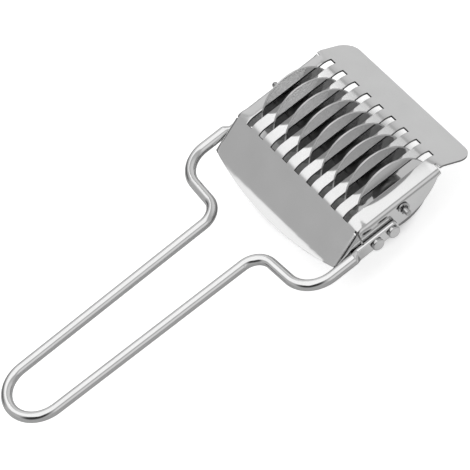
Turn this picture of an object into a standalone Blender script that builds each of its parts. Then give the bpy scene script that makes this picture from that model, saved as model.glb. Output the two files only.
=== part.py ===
"""Hand-held noodle roller cutter: a row of round blades that turns inside a slotted sheet-steel
cover, on a bent-rod handle. Metres, +Z up, +Y from the handle to the cover's front lip.
The origin is under the middle of the tool, at the height of the lowest blade edge."""

import math

import bmesh
import bpy
from mathutils import Matrix, Vector

# Running and assembly gap between pieces that touch, and how far a cutter runs past its wall
CLEARANCE = 0.0003
OVERRUN = 0.002

# Blades, spacers and collars of the drum
BLADE_COUNT = 9
BLADE_PITCH_LESS = 0.00005
BLADE_RADIUS = 0.0167
BLADE_THICKNESS = 0.0007
BLADE_GRIND = 0.0004
BLADE_EDGE = 0.0002
SPACER_RADIUS = 0.0065
SPACER_CHAMFER = 0.0004
COLLAR_END_PLAY = 0.0022
DRUM_SHIFT = 0.0008
DRUM_AHEAD = 0.0007
DRUM_BELOW = 0.00035

# Thin axle, from which the drum hangs by its wide bore, and its retaining clips
AXLE_RADIUS = 0.0012
AXLE_STICK_OUT = 0.0040
AXLE_BACK = 0.0010
AXLE_ABOVE = 0.0028
AXLE_CHAMFER = 0.0003
GROOVE_DEPTH = 0.0004
CLIP_THICKNESS = 0.0006
CLIP_RADIUS = 0.0025
CLIP_BAND = 0.0008
CLIP_MOUTH_DEG = 70.0
CLIP_TURN_DEG = 200.0

# Cover: one bent and slotted sheet
COVER_WIDTH = 0.0845
SHEET = 0.0008
COVER_RISE = 0.0080
FLAT_LENGTH = 0.0337
FOLD_RADIUS = 0.0080
FOLD_DEG = 30.0
SIDE_BEND = 0.0020
END_BAR_DROP = 0.00066
END_BAR_FADE = 0.0050
SLOT_WIDTH = 0.0033
END_SLOT_INSET = 0.00905
APRON_REACH = 0.0397
APRON_SIDE_REACH = 0.0347
APRON_CURL_START = 0.0363
APRON_CURL_DEG = 12.0
LIP_REACH = 0.0330
LIP_INSET = 0.00065
LIP_CORNER = 0.0060
SIDE_DEPTH = 0.0034
SIDE_FRONT = 0.0182
SIDE_BOW_START = 0.0018
SIDE_BOW_RADIUS = 0.0251
SIDE_LEAST = 0.0005
SIDE_REAR_CORNER = 0.0045
EAR_DEPTH = 0.0075
EAR_TIP_DEPTH = 0.0024
EAR_SLIT = 0.0007
LIP_SLIT = 0.0005
LIP_SLIT_INNER = 0.0032

# Handle: one bent rod whose ends are pressed flat
ROD_RADIUS = 0.0022
HANDLE_END_HALF = 0.0131
HANDLE_END_CENTRE = 0.1474
NECK_HALF = 0.0142
NECK_BACK = 0.0513
NECK_BEND = 0.0085
SHOULDER_BACK = 0.0497
SHOULDER_BEND = 0.0125
FLAT_THICKNESS = 0.0022
FLAT_HEIGHT = 0.0054
FLAT_FRONT = 0.0062
FLAT_BACK = 0.0246
FLAT_TAPER = 0.0030
FLAT_END_ROUND = 0.0016
FLAT_DROP = 0.0010
FLAT_TIP_SHARE = 0.72
FLAT_SIDE_SHARE = 0.6

# Rivets
RIVET_RADIUS = 0.0013
RIVET_HEAD_RADIUS = 0.0025
RIVET_HEAD_HEIGHT = 0.0014
RIVET_SHOULDER = 0.0005
RIVET_FOOT_RADIUS = 0.0021
RIVET_FOOT_HEIGHT = 0.0006
RIVET_PLACES = (0.0092, 0.0168)

# How close points merge, the angle that counts as a sharp edge, and the fineness of round shapes
MERGE_DISTANCE = 0.00001
SHARP_DEG = 35.0
TURN_STEPS = 48
SMALL_TURN_STEPS = 24
ARC_STEPS = 8
SIDE_STEPS = 14
FOLD_STEPS = 4
APRON_STEPS = 7
LIP_STEPS = 6
END_STEPS = 3

# Places that follow from the sizes above
HALF_WIDTH = COVER_WIDTH / 2
LIP_HALF_WIDTH = HALF_WIDTH - LIP_INSET
SLOT_PITCH = (HALF_WIDTH - END_SLOT_INSET) / (BLADE_COUNT - 1) * 2
BLADE_PITCH = SLOT_PITCH - BLADE_PITCH_LESS
FOLD_ANGLE = math.radians(FOLD_DEG)
FLAT_HALF = FLAT_LENGTH / 2
SLOT_HALF_LENGTH = FLAT_HALF + FOLD_RADIUS * math.sin(FOLD_ANGLE)
FOLD_DROP = FOLD_RADIUS * (1 - math.cos(FOLD_ANGLE))
FLAT_SIDE = HALF_WIDTH - SIDE_BEND
LIP_SLIT_START = HALF_WIDTH - LIP_SLIT_INNER
END_SLOT_EDGE = (BLADE_COUNT - 1) / 2 * SLOT_PITCH + SLOT_WIDTH / 2
END_BAR_WIDTH = FLAT_SIDE - END_SLOT_EDGE
ARM_OFFSET = HALF_WIDTH + ROD_RADIUS + 2 * CLEARANCE
AXLE_HALF_LENGTH = HALF_WIDTH + AXLE_STICK_OUT
HANDLE_REACH = HANDLE_END_CENTRE + HANDLE_END_HALF + ROD_RADIUS
HANDLE_PLANE_Y = (HANDLE_REACH - LIP_REACH) / 2
HANDLE_PLANE_Z = BLADE_RADIUS + DRUM_BELOW
AXLE_PLACE = (0, -AXLE_BACK, AXLE_ABOVE)
DRUM_PLACE = (-DRUM_SHIFT, DRUM_AHEAD, -DRUM_BELOW)
HANG = math.hypot(DRUM_AHEAD + AXLE_BACK, DRUM_BELOW + AXLE_ABOVE)
BORE_RADIUS = HANG + AXLE_RADIUS + CLEARANCE
FLAT_MIDDLE = HALF_WIDTH + CLEARANCE + FLAT_THICKNESS / 2


def clear_scene():
    for thing in list(bpy.data.objects):
        bpy.data.objects.remove(thing, do_unlink=True)


def make_collection(name):
    group = bpy.data.collections.new(name)
    bpy.context.scene.collection.children.link(group)
    return group


def steel(name, grey, roughness):
    material = bpy.data.materials.new(name)
    material.use_nodes = True
    shader = material.node_tree.nodes["Principled BSDF"]
    shader.inputs["Base Color"].default_value = (grey, grey, grey, 1)
    shader.inputs["Metallic"].default_value = 1
    shader.inputs["Roughness"].default_value = roughness
    return material


def make_empty(name, location, group, parent=None):
    empty = bpy.data.objects.new(name, None)
    empty.location = location
    empty.parent = parent
    group.objects.link(empty)
    return empty


def add_object(name, data, group, parent, material=None):
    thing = bpy.data.objects.new(name, data)
    thing.parent = parent
    group.objects.link(thing)
    if material is not None:
        data.materials.append(material)
    return thing


def profile_mesh(name, points, closed):
    """A chain of edges in the XZ plane, ready for a Screw modifier."""
    bm = bmesh.new()
    verts = [bm.verts.new((radius, 0, height)) for radius, height in points]
    for first, second in zip(verts, verts[1:]):
        bm.edges.new((first, second))
    if closed:
        bm.edges.new((verts[-1], verts[0]))
    mesh = bpy.data.meshes.new(name)
    bm.to_mesh(mesh)
    bm.free()
    return mesh


def turn_about_x(thing, steps):
    """Turns a profile about its own Z, then lays that axis along X."""
    screw = thing.modifiers.new("turn", "SCREW")
    screw.steps = steps
    screw.render_steps = steps
    screw.use_merge_vertices = True
    screw.merge_threshold = MERGE_DISTANCE
    screw.use_smooth_shade = True
    thing.modifiers.new("normals", "WEIGHTED_NORMAL")
    thing.rotation_euler = (0, math.pi / 2, 0)


def cut_hole(target, name, radius, place, cutters, parent, half_length):
    """A round cutter along X through the target at place."""
    bm = bmesh.new()
    bmesh.ops.create_cone(bm, cap_ends=True, segments=SMALL_TURN_STEPS, radius1=radius,
                          radius2=radius, depth=2 * half_length)
    mesh = bpy.data.meshes.new(name)
    bm.to_mesh(mesh)
    bm.free()
    cutter = add_object(name, mesh, cutters, parent)
    cutter.rotation_euler = (0, math.pi / 2, 0)
    cutter.location = place
    cutter.hide_render = True
    cutter.display_type = "WIRE"
    cut = target.modifiers.new(name, "BOOLEAN")
    cut.operation = "DIFFERENCE"
    cut.object = cutter


def blade_profile():
    half = BLADE_THICKNESS / 2
    grind = BLADE_RADIUS - BLADE_GRIND
    return [(BORE_RADIUS, half), (grind, half), (BLADE_RADIUS, BLADE_EDGE / 2),
            (BLADE_RADIUS, -BLADE_EDGE / 2), (grind, -half), (BORE_RADIUS, -half)]


def spacer_profile(length):
    half = length / 2
    return [(BORE_RADIUS, half), (SPACER_RADIUS - SPACER_CHAMFER, half),
            (SPACER_RADIUS, half - SPACER_CHAMFER), (SPACER_RADIUS, SPACER_CHAMFER - half),
            (SPACER_RADIUS - SPACER_CHAMFER, -half), (BORE_RADIUS, -half)]


def axle_profile():
    """From the right-hand end down to the left-hand one, with a groove at each clip."""
    groove_start = HALF_WIDTH
    groove_end = HALF_WIDTH + CLIP_THICKNESS + 2 * CLEARANCE
    neck = AXLE_RADIUS - GROOVE_DEPTH
    right = [(0, AXLE_HALF_LENGTH), (AXLE_RADIUS - AXLE_CHAMFER, AXLE_HALF_LENGTH),
             (AXLE_RADIUS, AXLE_HALF_LENGTH - AXLE_CHAMFER), (AXLE_RADIUS, groove_end),
             (neck, groove_end), (neck, groove_start), (AXLE_RADIUS, groove_start)]
    left = [(radius, -along) for radius, along in reversed(right)]
    return right + left


def rivet_profile():
    """Head on the handle's flat end, shank through both sheets, foot inside the cover."""
    head_seat = HALF_WIDTH + CLEARANCE + FLAT_THICKNESS + CLEARANCE
    foot_seat = HALF_WIDTH - SHEET - CLEARANCE
    points = [(0, head_seat + RIVET_HEAD_HEIGHT)]
    for step in range(FOLD_STEPS + 1):
        angle = math.pi / 2 * step / FOLD_STEPS
        points.append((RIVET_HEAD_RADIUS + RIVET_SHOULDER * (math.sin(angle) - 1),
                       head_seat + RIVET_HEAD_HEIGHT + RIVET_SHOULDER * (math.cos(angle) - 1)))
    points += [(RIVET_HEAD_RADIUS, head_seat), (RIVET_RADIUS, head_seat), (RIVET_RADIUS, foot_seat),
               (RIVET_FOOT_RADIUS, foot_seat), (RIVET_FOOT_RADIUS, foot_seat - RIVET_FOOT_HEIGHT),
               (0, foot_seat - RIVET_FOOT_HEIGHT)]
    return points


def make_blades(group, drum, material):
    mesh = profile_mesh("blade", blade_profile(), closed=True)
    mesh.materials.append(material)
    for number in range(BLADE_COUNT):
        blade = add_object(f"blade_{number + 1}", mesh, group, drum)
        blade.location.x = (number - (BLADE_COUNT - 1) / 2) * BLADE_PITCH
        turn_about_x(blade, TURN_STEPS)


def make_spacers(group, drum, material):
    length = BLADE_PITCH - BLADE_THICKNESS - 2 * CLEARANCE
    mesh = profile_mesh("spacer", spacer_profile(length), closed=True)
    mesh.materials.append(material)
    for number in range(BLADE_COUNT - 1):
        spacer = add_object(f"spacer_{number + 1}", mesh, group, drum)
        spacer.location.x = (number + 1 - BLADE_COUNT / 2) * BLADE_PITCH
        turn_about_x(spacer, SMALL_TURN_STEPS)


def make_collars(group, drum, material):
    """The end spacers stop short of the rivets' feet."""
    inner = (BLADE_COUNT - 1) / 2 * BLADE_PITCH + BLADE_THICKNESS / 2 + CLEARANCE
    outer = HALF_WIDTH - SHEET - CLEARANCE - COLLAR_END_PLAY
    mesh = profile_mesh("collar", spacer_profile(outer - inner), closed=True)
    mesh.materials.append(material)
    for side, name in ((-1, "end_collar_left"), (1, "end_collar_right")):
        collar = add_object(name, mesh, group, drum)
        collar.location.x = side * (inner + outer) / 2
        turn_about_x(collar, SMALL_TURN_STEPS)


def make_axle(group, tool, material):
    mesh = profile_mesh("axle", axle_profile(), closed=False)
    axle = add_object("axle", mesh, group, tool, material)
    axle.location = AXLE_PLACE
    turn_about_x(axle, SMALL_TURN_STEPS)


def clip_outline():
    """A snap ring, open at its mouth, with its tips rounded to the band's middle."""
    inner = CLIP_RADIUS - CLIP_BAND
    grip = AXLE_RADIUS - GROOVE_DEPTH + CLEARANCE
    half_mouth = math.radians(CLIP_MOUTH_DEG) / 2
    turn = math.radians(CLIP_TURN_DEG)
    steps = 3 * ARC_STEPS
    span = 2 * math.pi - 2 * half_mouth
    outer_arc = []
    inner_arc = []
    for step in range(steps + 1):
        angle = half_mouth + span * step / steps
        # three prongs reach in from the band to the axle's groove
        near_prong = min(abs(angle - half_mouth), abs(angle - math.pi),
                         abs(angle - 2 * math.pi + half_mouth))
        radius = grip if near_prong <= 1.5 * span / steps else inner
        outer_arc.append((CLIP_RADIUS * math.cos(angle + turn), CLIP_RADIUS * math.sin(angle + turn)))
        inner_arc.append((radius * math.cos(angle + turn), radius * math.sin(angle + turn)))
    return outer_arc + inner_arc[::-1]


def make_clips(group, tool, material):
    middle = HALF_WIDTH + CLEARANCE + CLIP_THICKNESS / 2
    for side, name in ((-1, "axle_clip_left"), (1, "axle_clip_right")):
        curve = bpy.data.curves.new(name, "CURVE")
        curve.dimensions = "2D"
        curve.fill_mode = "BOTH"
        curve.extrude = CLIP_THICKNESS / 2
        points = clip_outline()
        spline = curve.splines.new("POLY")
        spline.points.add(len(points) - 1)
        for point, (across, up) in zip(spline.points, points):
            point.co = (across, up, 0, 1)
        spline.use_cyclic_u = True
        clip = add_object(name, curve, group, tool, material)
        clip.rotation_euler = (math.pi / 2, 0, math.pi / 2)
        clip.location = (side * middle, -AXLE_BACK, AXLE_ABOVE)


def make_rivets(group, tool, material):
    mesh = profile_mesh("rivet", rivet_profile(), closed=False)
    mesh.materials.append(material)
    for side, side_name in ((-1, "left"), (1, "right")):
        for back, place in zip(RIVET_PLACES, ("front", "rear")):
            rivet = add_object(f"rivet_{side_name}_{place}", mesh, group, tool)
            turn_about_x(rivet, SMALL_TURN_STEPS)
            rivet.rotation_euler = (0, side * math.pi / 2, 0)
            rivet.location = (0, -back, -FLAT_DROP)


def fold_height(y):
    """Height of the cover's outer face over the handle's plane, along its side view."""
    beyond = abs(y) - FLAT_HALF
    if beyond <= 0:
        return COVER_RISE
    if beyond <= FOLD_RADIUS * math.sin(FOLD_ANGLE):
        return COVER_RISE - FOLD_RADIUS + math.sqrt(FOLD_RADIUS ** 2 - beyond ** 2)
    run = abs(y) - SLOT_HALF_LENGTH
    height = COVER_RISE - FOLD_DROP - run * math.tan(FOLD_ANGLE)
    if -y > APRON_CURL_START:
        curl = -y - APRON_CURL_START
        height += curl * (math.tan(FOLD_ANGLE) - math.tan(math.radians(APRON_CURL_DEG)))
    return height


def end_share(y):
    """How much of the end bars' outward slope is left at a place along the cover."""
    inside = min(1, max(0, (SLOT_HALF_LENGTH - abs(y)) / END_BAR_FADE))
    return inside * inside * (3 - 2 * inside)


def end_drop(x, y):
    """How far the end bars, beyond the last slots, curve down below the flat sheet."""
    share = max(0, abs(x) - END_SLOT_EDGE) / END_BAR_WIDTH
    return END_BAR_DROP * share ** 2 * end_share(y)


def bend_point(share, y):
    """How far out and down the side bend has come; it starts with the end bar's slope."""
    start = math.atan(2 * END_BAR_DROP / END_BAR_WIDTH * end_share(y))
    radius = SIDE_BEND / (1 - math.sin(start))
    angle = start + (math.pi / 2 - start) * share
    out = radius * (math.sin(angle) - math.sin(start))
    down = radius * (math.cos(start) - math.cos(angle))
    return out, end_drop(FLAT_SIDE, y) + down


def side_bottom(y):
    """Lower edge of the side plates: bowed towards the lip, square towards the handle."""
    along = y + SIDE_BOW_START
    if along > 0:
        bottom = SIDE_BOW_RADIUS - SIDE_DEPTH - math.sqrt(SIDE_BOW_RADIUS ** 2 - along ** 2)
        return min(bottom, fold_height(y) - bend_point(1, y)[1] - SIDE_LEAST)
    into_corner = -y - (SLOT_HALF_LENGTH - SIDE_REAR_CORNER)
    if into_corner <= 0:
        return -SIDE_DEPTH
    rise = math.sqrt(max(0, SIDE_REAR_CORNER ** 2 - into_corner ** 2))
    return -SIDE_DEPTH + SIDE_REAR_CORNER - rise


def ear_bottom(y):
    """Lower edge of the ears, which taper along the apron's sides."""
    start = SLOT_HALF_LENGTH + EAR_SLIT
    share = (-y - start) / (APRON_SIDE_REACH - start)
    return fold_height(y) - EAR_DEPTH + share * (EAR_DEPTH - EAR_TIP_DEPTH)


def apron_edge(x):
    """Distance of the apron's rounded lower edge behind the cover's middle."""
    return APRON_REACH - (APRON_REACH - APRON_SIDE_REACH) * (x / HALF_WIDTH) ** 2


def lip_half_width(y):
    into_corner = y - (LIP_REACH - LIP_CORNER)
    if into_corner <= 0:
        return LIP_HALF_WIDTH
    return LIP_HALF_WIDTH - LIP_CORNER + math.sqrt(max(0, LIP_CORNER ** 2 - into_corner ** 2))


def spread(start, end, steps):
    return [start + (end - start) * step / steps for step in range(1, steps + 1)]


def cover_rows():
    """Places along the cover's side view, from the apron's edge to the lip's edge."""
    ear_end = SLOT_HALF_LENGTH + EAR_SLIT
    lip_slit_end = SIDE_FRONT + LIP_SLIT
    rows = [-APRON_REACH]
    rows += spread(-APRON_REACH, -ear_end, APRON_STEPS)
    rows += [-SLOT_HALF_LENGTH]
    rows += spread(-SLOT_HALF_LENGTH, -FLAT_HALF, FOLD_STEPS)
    rows += spread(-FLAT_HALF, FLAT_HALF, SIDE_STEPS)
    rows += [SIDE_FRONT, lip_slit_end]
    rows += spread(lip_slit_end, SLOT_HALF_LENGTH, FOLD_STEPS // 2)
    rows += spread(SLOT_HALF_LENGTH, LIP_REACH - LIP_CORNER, LIP_STEPS // 2)
    for step in range(1, LIP_STEPS + 1):
        angle = math.pi / 2 * step / LIP_STEPS
        rows.append(LIP_REACH - LIP_CORNER + LIP_CORNER * math.sin(angle))
    return rows


def cover_columns():
    """Places across the flat sheet from its middle to one side, with every slot's edges."""
    columns = []
    for number in range(BLADE_COUNT):
        middle = (number - (BLADE_COUNT - 1) / 2) * SLOT_PITCH
        columns += [middle - SLOT_WIDTH / 2, middle + SLOT_WIDTH / 2]
    outer = spread(END_SLOT_EDGE, LIP_SLIT_START, END_STEPS) + [FLAT_SIDE]
    return [-x for x in reversed(outer)] + columns + outer


def sheet_point(column, row, columns, rows):
    """Where a grid place lies once the sheet is bent: flat, round the side bend, then down."""
    y = rows[row]
    last = len(columns) - 1
    over = max(-column, column - last, 0)
    side = -1 if column < 0 else 1
    x = columns[min(max(column, 0), last)]
    if y > SIDE_FRONT + LIP_SLIT / 2:
        x += side * (LIP_HALF_WIDTH - abs(x)) * over / (FOLD_STEPS + 1) if over else 0
        x *= lip_half_width(y) / LIP_HALF_WIDTH
        return Vector((x, y, fold_height(y) - end_drop(x, y)))
    down = end_drop(x, y)
    if over:
        out, down = bend_point(min(over, FOLD_STEPS) / FOLD_STEPS, y)
        x += side * out
    if y < -SLOT_HALF_LENGTH - EAR_SLIT / 2:
        start = SLOT_HALF_LENGTH + EAR_SLIT
        share = (-y - start) / (APRON_REACH - start)
        y = -start - share * (apron_edge(x) - start)
    if over <= FOLD_STEPS:
        return Vector((x, y, fold_height(y) - down))
    bottom = ear_bottom(y) if y < -SLOT_HALF_LENGTH - EAR_SLIT / 2 else side_bottom(y)
    return Vector((x, y, bottom))


def in_slot(x):
    number = round(x / SLOT_PITCH + (BLADE_COUNT - 1) / 2)
    if not 0 <= number < BLADE_COUNT:
        return False
    return abs(x - (number - (BLADE_COUNT - 1) / 2) * SLOT_PITCH) < SLOT_WIDTH / 2


def is_open(column, row, columns, rows):
    """True for the grid cells of the slots and of the slits beside the side plates."""
    middle = (rows[row] + rows[row + 1]) / 2
    last = len(columns) - 1
    if column < 0 or column >= last:
        return (SIDE_FRONT < middle < SIDE_FRONT + LIP_SLIT
                or -SLOT_HALF_LENGTH - EAR_SLIT < middle < -SLOT_HALF_LENGTH)
    x = (columns[column] + columns[column + 1]) / 2
    if abs(x) > LIP_SLIT_START:
        return SIDE_FRONT < middle < SIDE_FRONT + LIP_SLIT
    return abs(middle) < SLOT_HALF_LENGTH and in_slot(x)


def cover_surface():
    """The bent sheet's outer face as one open surface."""
    rows = cover_rows()
    columns = cover_columns()
    first = -(FOLD_STEPS + 1)
    end = len(columns) + FOLD_STEPS
    bm = bmesh.new()
    grid = {}
    for column in range(first, end + 1):
        for row in range(len(rows)):
            grid[column, row] = bm.verts.new(sheet_point(column, row, columns, rows))
    for column in range(first, end):
        for row in range(len(rows) - 1):
            if not is_open(column, row, columns, rows):
                bm.faces.new((grid[column, row], grid[column + 1, row],
                              grid[column + 1, row + 1], grid[column, row + 1]))
    loose = [vert for vert in bm.verts if not vert.link_faces]
    bmesh.ops.delete(bm, geom=loose, context="VERTS")
    mesh = bpy.data.meshes.new("cover")
    bm.to_mesh(mesh)
    bm.free()
    mesh.shade_smooth()
    mesh.set_sharp_from_angle(angle=math.radians(SHARP_DEG))
    return mesh


def make_cover(group, cutters, tool, material):
    cover = add_object("cover", cover_surface(), group, tool, material)
    solid = cover.modifiers.new("sheet", "SOLIDIFY")
    solid.thickness = SHEET
    solid.offset = -1
    solid.use_even_offset = True
    through = HALF_WIDTH + OVERRUN
    cut_hole(cover, "axle_hole", AXLE_RADIUS + CLEARANCE, AXLE_PLACE, cutters, tool, through)
    for back, place in zip(RIVET_PLACES, ("front", "rear")):
        cut_hole(cover, f"cover_rivet_hole_{place}", RIVET_RADIUS + CLEARANCE,
                 (0, -back, -FLAT_DROP), cutters, tool, through)


def rounded_corner(before, corner, after, radius):
    """Points of an arc that rounds a corner of a flat path."""
    into = (before - corner).normalized()
    out = (after - corner).normalized()
    half = into.angle(out) / 2
    reach = radius / math.tan(half)
    middle = corner + (into + out).normalized() * (radius / math.sin(half))
    start = corner + into * reach - middle
    end = corner + out * reach - middle
    sweep = start.angle_signed(end)
    points = []
    for step in range(ARC_STEPS + 1):
        turned = start.copy()
        turned.rotate(Matrix.Rotation(-sweep * step / ARC_STEPS, 2))
        points.append(middle + turned)
    return points


def handle_path():
    """The rod's centre line from the right-hand end round the grip to the left-hand one."""
    tip = Vector((ARM_OFFSET, -FLAT_FRONT))
    shoulder = Vector((ARM_OFFSET, -SHOULDER_BACK))
    neck = Vector((NECK_HALF, -NECK_BACK))
    grip = Vector((HANDLE_END_HALF, -HANDLE_END_CENTRE))
    half = [tip]
    half += [Vector((ARM_OFFSET, y)) for y in
             (-FLAT_FRONT - FLAT_END_ROUND / 3, -FLAT_FRONT - FLAT_END_ROUND)]
    half += [Vector((ARM_OFFSET, y)) for y in spread(-FLAT_FRONT - FLAT_END_ROUND, -FLAT_BACK, 4)]
    half += [Vector((ARM_OFFSET, y)) for y in
             spread(-FLAT_BACK, -FLAT_BACK - FLAT_TAPER, FOLD_STEPS)]
    half += rounded_corner(tip, shoulder, neck, SHOULDER_BEND)
    half += rounded_corner(shoulder, neck, grip, NECK_BEND)
    half += [neck.lerp(grip, step / FOLD_STEPS) for step in range(1, FOLD_STEPS)]
    turn_steps = 2 * ARC_STEPS
    for step in range(turn_steps // 2 + 1):
        angle = math.pi * step / turn_steps
        half.append(Vector((HANDLE_END_HALF * math.cos(angle),
                            -HANDLE_END_CENTRE - HANDLE_END_HALF * math.sin(angle))))
    return half + [Vector((-point.x, point.y)) for point in reversed(half[:-1])]


def press_flat(mesh):
    """Presses the rod's two ends flat against the cover's sides."""
    for vert in mesh.vertices:
        back = -vert.co.y
        if back > FLAT_BACK + FLAT_TAPER:
            continue
        side = 1 if vert.co.x > 0 else -1
        across = (vert.co.x * side - ARM_OFFSET) / ROD_RADIUS
        up = vert.co.z / ROD_RADIUS
        share = min(1, (FLAT_BACK + FLAT_TAPER - back) / FLAT_TAPER)
        share = share * share * (3 - 2 * share)
        end = min(1, max(0, (back - FLAT_FRONT) / FLAT_END_ROUND))
        tip = FLAT_TIP_SHARE + (1 - FLAT_TIP_SHARE) * math.sqrt(end * (2 - end))
        flat_across = max(-1, min(1, across / FLAT_SIDE_SHARE)) * FLAT_THICKNESS / 2
        x = (1 - share) * (ARM_OFFSET + across * ROD_RADIUS) + share * (FLAT_MIDDLE + flat_across)
        vert.co.x = side * x
        vert.co.z = up * ((1 - share) * ROD_RADIUS + share * tip * FLAT_HEIGHT / 2)
        vert.co.z -= share * FLAT_DROP


def make_handle(group, cutters, tool, material):
    curve = bpy.data.curves.new("handle_line", "CURVE")
    curve.dimensions = "3D"
    curve.bevel_depth = ROD_RADIUS
    curve.bevel_resolution = 4
    curve.use_fill_caps = True
    points = handle_path()
    spline = curve.splines.new("POLY")
    spline.points.add(len(points) - 1)
    for point, place in zip(spline.points, points):
        point.co = (place.x, place.y, 0, 1)
    line = add_object("handle_line", curve, group, tool)
    bpy.context.view_layer.update()
    graph = bpy.context.evaluated_depsgraph_get()
    mesh = bpy.data.meshes.new_from_object(line.evaluated_get(graph))
    bm = bmesh.new()
    bm.from_mesh(mesh)
    bmesh.ops.remove_doubles(bm, verts=bm.verts, dist=MERGE_DISTANCE)
    bm.to_mesh(mesh)
    bm.free()
    press_flat(mesh)
    mesh.shade_smooth()
    mesh.set_sharp_from_angle(angle=math.radians(SHARP_DEG))
    handle = add_object("handle", mesh, group, tool, material)
    bpy.data.objects.remove(line, do_unlink=True)
    for back, place in zip(RIVET_PLACES, ("front", "rear")):
        cut_hole(handle, f"handle_rivet_hole_{place}", RIVET_RADIUS + CLEARANCE,
                 (0, -back, -FLAT_DROP), cutters, tool, ARM_OFFSET + ROD_RADIUS + OVERRUN)


def main():
    clear_scene()
    group = make_collection("noodle_roller_cutter")
    cutters = make_collection("cutters")
    tool = make_empty("tool_frame", (0, HANDLE_PLANE_Y, HANDLE_PLANE_Z), group)
    drum = make_empty("drum_axis", DRUM_PLACE, group, tool)
    polished = steel("polished_sheet_steel", 0.62, 0.18)
    blade_steel = steel("ground_blade_steel", 0.60, 0.22)
    rod_steel = steel("bright_rod_steel", 0.64, 0.20)
    pin_steel = steel("turned_pin_steel", 0.46, 0.30)
    make_cover(group, cutters, tool, polished)
    make_handle(group, cutters, tool, rod_steel)
    make_axle(group, tool, pin_steel)
    make_clips(group, tool, pin_steel)
    make_rivets(group, tool, rod_steel)
    make_blades(group, drum, blade_steel)
    make_spacers(group, drum, pin_steel)
    make_collars(group, drum, pin_steel)


main()
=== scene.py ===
"""Looks for the hand-held noodle roller cutter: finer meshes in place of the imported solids, steel
finishes, a plain studio and the photograph's camera. Metres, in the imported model's own frame."""

import math

import bmesh
import bpy
from mathutils import Matrix, Vector


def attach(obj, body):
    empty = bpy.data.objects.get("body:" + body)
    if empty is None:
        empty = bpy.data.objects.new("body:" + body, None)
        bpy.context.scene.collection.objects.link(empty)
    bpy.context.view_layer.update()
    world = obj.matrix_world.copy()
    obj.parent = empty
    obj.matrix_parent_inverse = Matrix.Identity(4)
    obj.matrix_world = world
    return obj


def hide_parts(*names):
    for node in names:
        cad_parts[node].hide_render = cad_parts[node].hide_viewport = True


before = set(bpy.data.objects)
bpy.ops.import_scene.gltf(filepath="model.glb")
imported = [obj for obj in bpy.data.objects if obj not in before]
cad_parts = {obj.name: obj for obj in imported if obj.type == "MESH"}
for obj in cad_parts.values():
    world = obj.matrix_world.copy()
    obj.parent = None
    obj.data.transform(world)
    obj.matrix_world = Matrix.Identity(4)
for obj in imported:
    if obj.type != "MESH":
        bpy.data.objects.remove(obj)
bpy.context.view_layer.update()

# Gaps and the drum's rows
CLEARANCE = 0.0003
BLADE_COUNT = 9
BLADE_PITCH = 0.00825
BLADE_RADIUS = 0.0167
BLADE_THICKNESS = 0.0007
BLADE_GRIND = 0.0004
BLADE_EDGE = 0.0002
BLADE_ROUND = 0.00008
SPACER_RADIUS = 0.0065
SPACER_CHAMFER = 0.0004
COLLAR_END_PLAY = 0.0022
DRUM_SHIFT = 0.0008
DRUM_AHEAD = 0.0007
DRUM_BELOW = 0.00035

# Axle and clips
AXLE_RADIUS = 0.0012
AXLE_STICK_OUT = 0.0040
AXLE_BACK = 0.0010
AXLE_ABOVE = 0.0028
AXLE_CHAMFER = 0.0003
GROOVE_DEPTH = 0.0004
CLIP_THICKNESS = 0.0006
CLIP_RADIUS = 0.0025
CLIP_BAND = 0.0008
CLIP_MOUTH_DEG = 70.0
CLIP_TURN_DEG = 200.0
CLIP_ROUND = 0.00012
AXLE_CHAMFER_EASE = 3

# Cover sheet
COVER_WIDTH = 0.0845
SHEET = 0.0008
SHEET_ROUND = 0.00018
COVER_RISE = 0.0080
FLAT_LENGTH = 0.0337
FOLD_RADIUS = 0.0080
FOLD_DEG = 30.0
SIDE_BEND = 0.0020
END_BAR_DROP = 0.00066
END_BAR_FADE = 0.0050
SLOT_WIDTH = 0.0033
SLOT_PITCH = 0.0083
APRON_REACH = 0.0397
APRON_SIDE_REACH = 0.0347
APRON_CURL_START = 0.0363
APRON_CURL_DEG = 12.0
LIP_REACH = 0.0330
LIP_INSET = 0.00065
LIP_CORNER = 0.0060
SIDE_DEPTH = 0.0034
SIDE_FRONT = 0.0182
SIDE_BOW_START = 0.0018
SIDE_BOW_RADIUS = 0.0251
SIDE_LEAST = 0.0005
SIDE_REAR_CORNER = 0.0045
EAR_DEPTH = 0.0075
EAR_TIP_DEPTH = 0.0024
EAR_SLIT = 0.0007
LIP_SLIT = 0.0005
LIP_SLIT_INNER = 0.0032

# Handle rod
ROD_RADIUS = 0.0022
HANDLE_END_HALF = 0.0131
HANDLE_END_CENTRE = 0.1474
NECK_HALF = 0.0142
NECK_BACK = 0.0513
NECK_BEND = 0.0085
SHOULDER_BACK = 0.0497
SHOULDER_BEND = 0.0125
FLAT_THICKNESS = 0.0022
FLAT_HEIGHT = 0.0054
FLAT_FRONT = 0.0062
FLAT_BACK = 0.0246
FLAT_TAPER = 0.0030
FLAT_END_ROUND = 0.0016
FLAT_DROP = 0.0010
FLAT_TIP_SHARE = 0.72
FLAT_SIDE_SHARE = 0.6

# Rivets
RIVET_RADIUS = 0.0013
RIVET_HEAD_RADIUS = 0.0025
RIVET_HEAD_HEIGHT = 0.0014
RIVET_SHOULDER = 0.0005
RIVET_FOOT_RADIUS = 0.0021
RIVET_FOOT_HEIGHT = 0.0006
RIVET_PLACES = (0.0092, 0.0168)

# Fineness
BLADE_STEPS = 192
PIN_STEPS = 64
ARC_STEPS = 24
ROD_SIDES = 48
SIDE_STEPS = 60
FOLD_STEPS = 12
APRON_STEPS = 24
LIP_STEPS = 12
END_STEPS = 10
BEVEL_SEGMENTS = 2
BEVEL_DEG = 50
BEVEL_WEIGHT = 100
SHARP_DEG = 30
BLADE_SHARP_DEG = 4

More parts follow.
